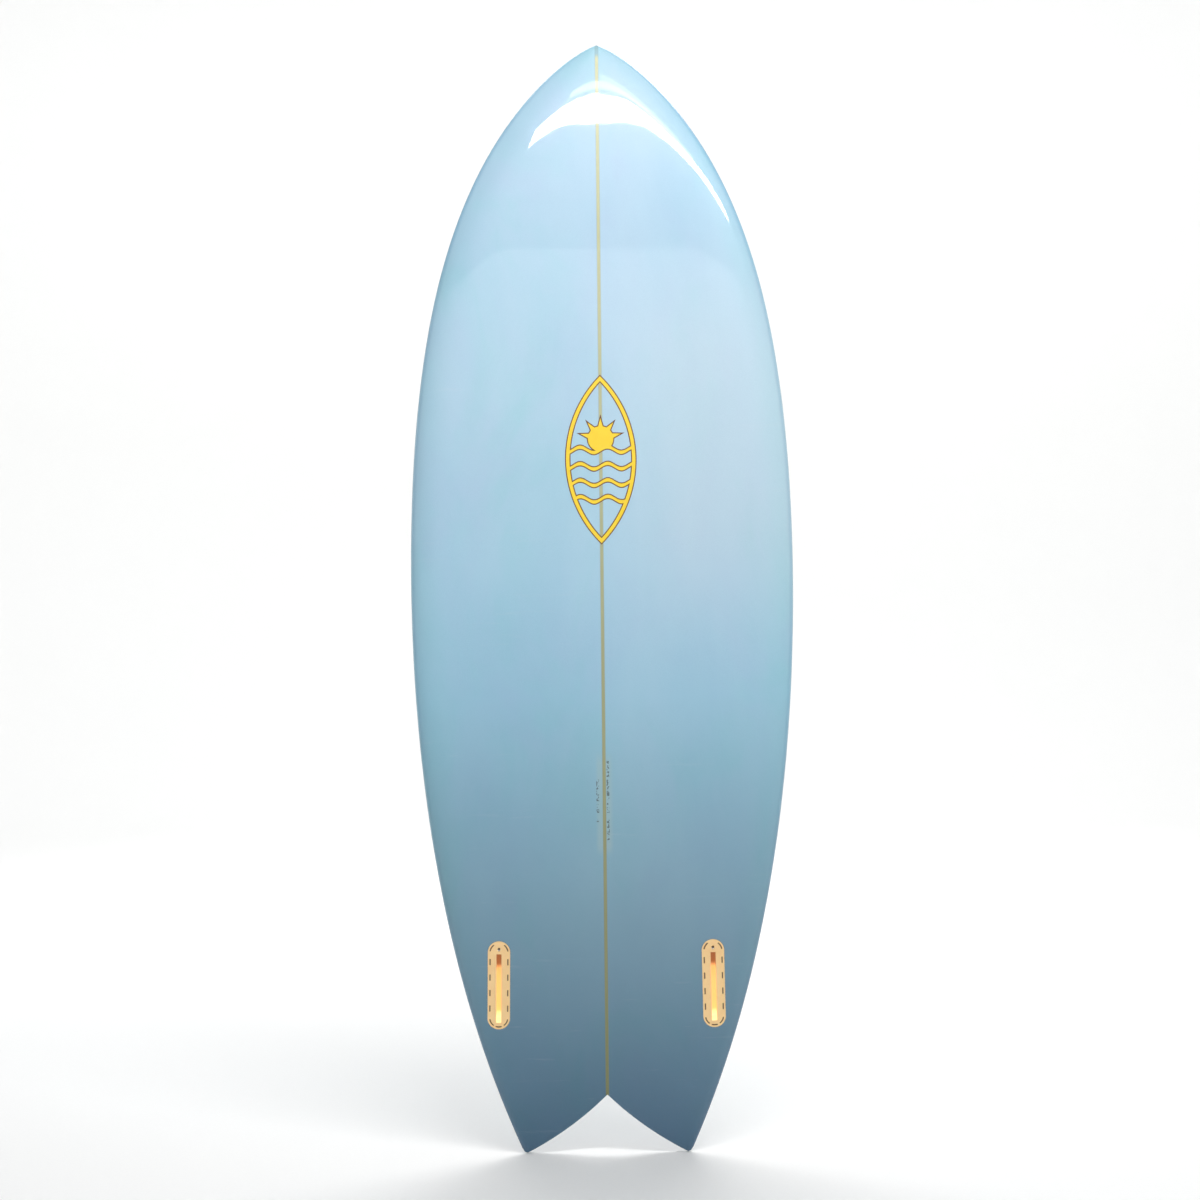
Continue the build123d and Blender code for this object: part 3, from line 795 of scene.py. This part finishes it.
def cream(name, place=None):
    """Cream moulded plastic.

    place is a fin box's centre and directions, for its slot and for the painted shade in its slits and screw
    hole.
    """
    m = Nodes(name)
    blotch = m.noise((1, 1, 1), 55.0, detail=4, roughness=0.6)
    colour = m.mix(m.remap(blotch, 0.3, 0.8, 0, 0.6), srgb(254, 215, 154), srgb(250, 203, 141))
    speck = m.noise((1, 1, 1), 700.0, detail=2, roughness=0.7)
    colour = m.mix(m.remap(speck, 0.62, 0.75, 0, 0.35), colour, srgb(214, 160, 104))
    if place:
        centre, *axes = place

        def along(axis):
            dot = m.add("ShaderNodeVectorMath")
            dot.operation = "DOT_PRODUCT"
            m.link(m.coords, dot.inputs[0])
            dot.inputs[1].default_value = axis
            return m.math("SUBTRACT", dot.outputs["Value"], centre.dot(axis) * MM)

        across, forward, out = (along(axis) for axis in axes)
        beside = m.math("ABSOLUTE", across)
        deep = m.remap(out, *RECESS, 1, 0)
        in_slot = m.math("LESS_THAN", beside, SLOT_HALF)
        in_slot = m.math("MULTIPLY", in_slot, m.math("LESS_THAN", forward, SLOT_FRONT))
        in_slot = m.math("MULTIPLY", in_slot, m.math("GREATER_THAN", forward, SLOT_REAR))
        # painted shade: recesses outside the slot, the slits and the screw hole, turn dark brown
        recess_shade = m.math("MULTIPLY", deep, m.math("SUBTRACT", 1.0, in_slot))
        colour = m.mix(m.math("MULTIPLY", recess_shade, 0.88), colour, srgb(112, 80, 62))
        # painted light and shadow in the slot: lighter at the rising end, a painted shadow at the shaded end
        floor = m.mix(m.remap(forward, *RAMP), srgb(255, 240, 190), srgb(255, 214, 146))
        floor = m.mix(m.remap(forward, *SHADED), floor, srgb(188, 126, 72))
        in_slot = m.math("MULTIPLY", deep, in_slot)
        colour = m.mix(in_slot, colour, floor)
        # painted light: the slot glows, standing in for light that falls into it and comes through the plastic
        m.set(Emission_Color=floor, Emission_Strength=m.math("MULTIPLY", in_slot, SLOT_GLOW))
    m.set(Base_Color=colour, Roughness=m.remap(blotch, 0.3, 0.7, 0.34, 0.5))
    m.set(Coat_Weight=0.25, Coat_Roughness=0.2)
    m.bump(speck, 0.15, 0.0002)
    return m.material


def steel(name):
    m = Nodes(name)
    brushed = m.noise((60, 900, 60), 4.0, detail=4, roughness=0.7)
    colour = m.mix(brushed, srgb(128, 118, 106), srgb(176, 168, 156))
    m.set(Base_Color=colour, Metallic=1.0, Roughness=m.remap(brushed, 0.2, 0.8, 0.26, 0.44))
    m.bump(brushed, 0.1, 0.0001)
    return m.material


def foam(name):
    m = Nodes(name)
    cells = m.add("ShaderNodeTexVoronoi")
    m.link(m.coords, cells.inputs["Vector"])
    cells.inputs["Scale"].default_value = 900.0
    age = m.noise((1, 1, 1), 8.0, detail=4)
    colour = m.mix(age, srgb(240, 236, 216), srgb(232, 224, 194))
    m.set(Base_Color=colour, Roughness=0.9)
    m.bump(cells.outputs["Distance"], 0.5, 0.0004)
    return m.material


def wood(name):
    m = Nodes(name)
    grain = m.noise((300, 40, 3), 6.0, detail=6, roughness=0.7, distortion=0.3)
    colour = m.mix(grain, srgb(150, 118, 74), srgb(208, 178, 128))
    m.set(Base_Color=colour, Roughness=m.remap(grain, 0.2, 0.8, 0.5, 0.75))
    m.bump(grain, 0.3, 0.0003)
    return m.material


def clear_cloth(name, base, other):
    m = Nodes(name)
    weave = m.noise((1, 1, 1), 1200.0, detail=1)
    haze = m.noise((1, 1, 1), 18.0, detail=4)
    colour = m.mix(haze, base, other)
    colour = m.mix(m.remap(weave, 0.35, 0.65, 0, 0.2), colour, srgb(240, 244, 240))
    m.set(Base_Color=colour, Roughness=m.remap(weave, 0.2, 0.8, 0.25, 0.4), Coat_Weight=0.5, Coat_Roughness=0.1)
    m.bump(weave, 0.2, 0.0001)
    return m.material


def ink(name, base, other):
    m = Nodes(name)
    mottle = m.noise((1, 1, 1), 90.0, detail=4, roughness=0.6)
    m.set(Base_Color=m.mix(mottle, base, other), Roughness=0.35, Specular_IOR_Level=0.3)
    m.set(Coat_Weight=1.0, Coat_Roughness=0.035, Coat_IOR=1.5)
    ripple = m.noise((1, 1, 0.6), 26.0, detail=2)
    m.bump(ripple, 0.25, 0.0004, coat=True)
    return m.material


def glue(name):
    m = Nodes(name)
    haze = m.noise((1, 1, 1), 40.0, detail=4)
    m.set(Base_Color=m.mix(haze, srgb(214, 206, 170), srgb(190, 180, 140)), Roughness=0.5)
    m.bump(haze, 0.2, 0.0002)
    return m.material


def cover(node_or_piece, material):
    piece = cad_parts[node_or_piece] if isinstance(node_or_piece, str) else node_or_piece
    piece.data.materials.clear()
    piece.data.materials.append(material)


blue_bottom = resin("blue_resin_bottom", deck=False)
blue_deck = resin("blue_resin_deck", deck=True)
cream_plastic = cream("cream_plastic")
stainless = steel("stainless")
cover(bottom_skin, blue_bottom)
cover(deck_skin, blue_deck)
for side, sign in (("left", -1), ("right", 1)):
    cover(f"foam_core_{side}", foam(f"foam_{side}"))
    cover(f"glue_line_{side}", glue(f"glue_{side}"))
    cover(f"fin_box_{side}", cream(f"fin_box_plastic_{side}", fin_place(sign)))
    cover(f"fin_screw_{side}", stainless)
    cover(f"fin_patch_{side}", clear_cloth(f"fin_cloth_{side}", srgb(206, 222, 220), srgb(190, 210, 212)))
    cover(f"fin_box_bed_{side}", clear_cloth(f"box_resin_{side}", srgb(96, 124, 140), srgb(84, 112, 128)))
cover("stringer", wood("stringer_wood"))
cover("deck_patch", clear_cloth("deck_cloth", srgb(206, 222, 220), srgb(190, 210, 212)))
cover("tail_patch", clear_cloth("tail_cloth", srgb(206, 222, 220), srgb(190, 210, 212)))
cover("leash_cup", cream_plastic)
cover("leash_bar", stainless)
cover("leash_cup_bed", clear_cloth("plug_resin", srgb(120, 152, 170), srgb(104, 138, 156)))
yellow_print = ink("yellow_print", srgb(255, 220, 42), srgb(250, 208, 34))
cover("logo_decal", yellow_print)
cover(badge_fill, yellow_print)
cover(badge_edge, ink("brown_print", srgb(116, 62, 34), srgb(98, 50, 30)))

for piece, nodes, slot in (
    (bottom_skin, ("bottom_laminate",), "blue_resin"),
    (deck_skin, ("deck_laminate",), "blue_resin"),
    (badge_fill, ("logo_decal",), "yellow_print"),
    (badge_edge, (), "yellow_print"),
):
    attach(piece, "board")
    if nodes:
        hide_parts(*nodes)

for name in ("fin_box_left", "fin_box_right", "leash_cup"):
    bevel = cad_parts[name].modifiers.new("soft_edges", "BEVEL")
    bevel.width = 0.0003
    bevel.segments = 2
    bevel.limit_method = "ANGLE"
    bevel.angle_limit = math.radians(40)
    bevel.use_clamp_overlap = True

# ---------------------------------------------------------------- stage, light and camera


def studio_room():
    """A pale round floor that turns up into a wall all round, well outside every camera."""
    profile = [(0.25 * k, 0.0) for k in range(1, 19)]
    profile += [(4.5 + 1.6 * math.sin(a), 1.6 - 1.6 * math.cos(a)) for a in np.linspace(0, math.pi / 2, 17)[1:]]
    profile += [(6.1, 3.0), (6.1, 4.6)]
    turns = 96
    verts = [(0, 0, -0.0006)]
    for radius, z in profile:
        for k in range(turns):
            a = 2 * math.pi * k / turns
            verts.append((radius * math.cos(a), radius * math.sin(a), z - 0.0006))
    faces = [(0, 1 + k, 1 + (k + 1) % turns) for k in range(turns)]
    for row in range(len(profile) - 1):
        for k in range(turns):
            a, b = 1 + row * turns + k, 1 + row * turns + (k + 1) % turns
            faces.append((a, a + turns, b + turns, b))
    sheet = new_object("floor_and_wall", verts, faces, scale=1.0)
    smooth(sheet)
    m = Nodes("studio_paper")
    fibre = m.noise((1, 1, 1), 240.0, detail=3)
    paper = m.mix(fibre, (0.80, 0.80, 0.79, 1), (0.84, 0.84, 0.83, 1))
    m.set(Base_Color=paper, Roughness=0.9, Specular_IOR_Level=0.1)
    cover(sheet, m.material)


studio_room()


def area_light(name, place, target, size, power):
    data = bpy.data.lights.new(name, "AREA")
    data.shape = "RECTANGLE"
    data.size, data.size_y = size
    data.energy = power
    lamp = bpy.data.objects.new(name, data)
    bpy.context.scene.collection.objects.link(lamp)
    lamp.location = place
    direction = Vector(target) - Vector(place)
    lamp.rotation_euler = direction.to_track_quat("-Z", "Y").to_euler()


area_light("key_strip", (0.66, -1.56, 3.075), (0.5, 0.0, 1.35), (2.10, 0.13), 50)
area_light("glow_near", (0.42, -1.56, 3.205), (0.3, 0.0, 1.40), (1.10, 0.045), 1.1)
area_light("glow_far", (0.42, -1.56, 3.270), (0.3, 0.0, 1.40), (0.8, 0.05), 0.4)
area_light("back_wash", (0, 1.9, 4.3), (0, 4.6, 0.2), (4.5, 1.6), 190)
area_light("front_wash", (0, -3.6, 4.6), (0, -6.0, 3.4), (4.0, 0.8), 110)
area_light("deck_light", (0.8, 3.0, 3.6), (0, 0.3, 0.8), (1.6, 1.0), 26)

world = bpy.data.worlds.new("studio")
world.use_nodes = True
world.node_tree.nodes["Background"].inputs["Color"].default_value = (0.90, 0.93, 1.0, 1)
world.node_tree.nodes["Background"].inputs["Strength"].default_value = 0.28
bpy.context.scene.world = world
bpy.context.scene.view_settings.view_transform = "Standard"

camera_data = bpy.data.cameras.new("camera")
camera_data.sensor_width = 36.0
camera_data.lens = 62.03
camera = bpy.data.objects.new("camera", camera_data)
bpy.context.scene.collection.objects.link(camera)
camera.location = (-0.0033, -3.0605, 0.8156)
camera.rotation_euler = (math.pi / 2, math.radians(0.605), 0)
bpy.context.scene.camera = camera
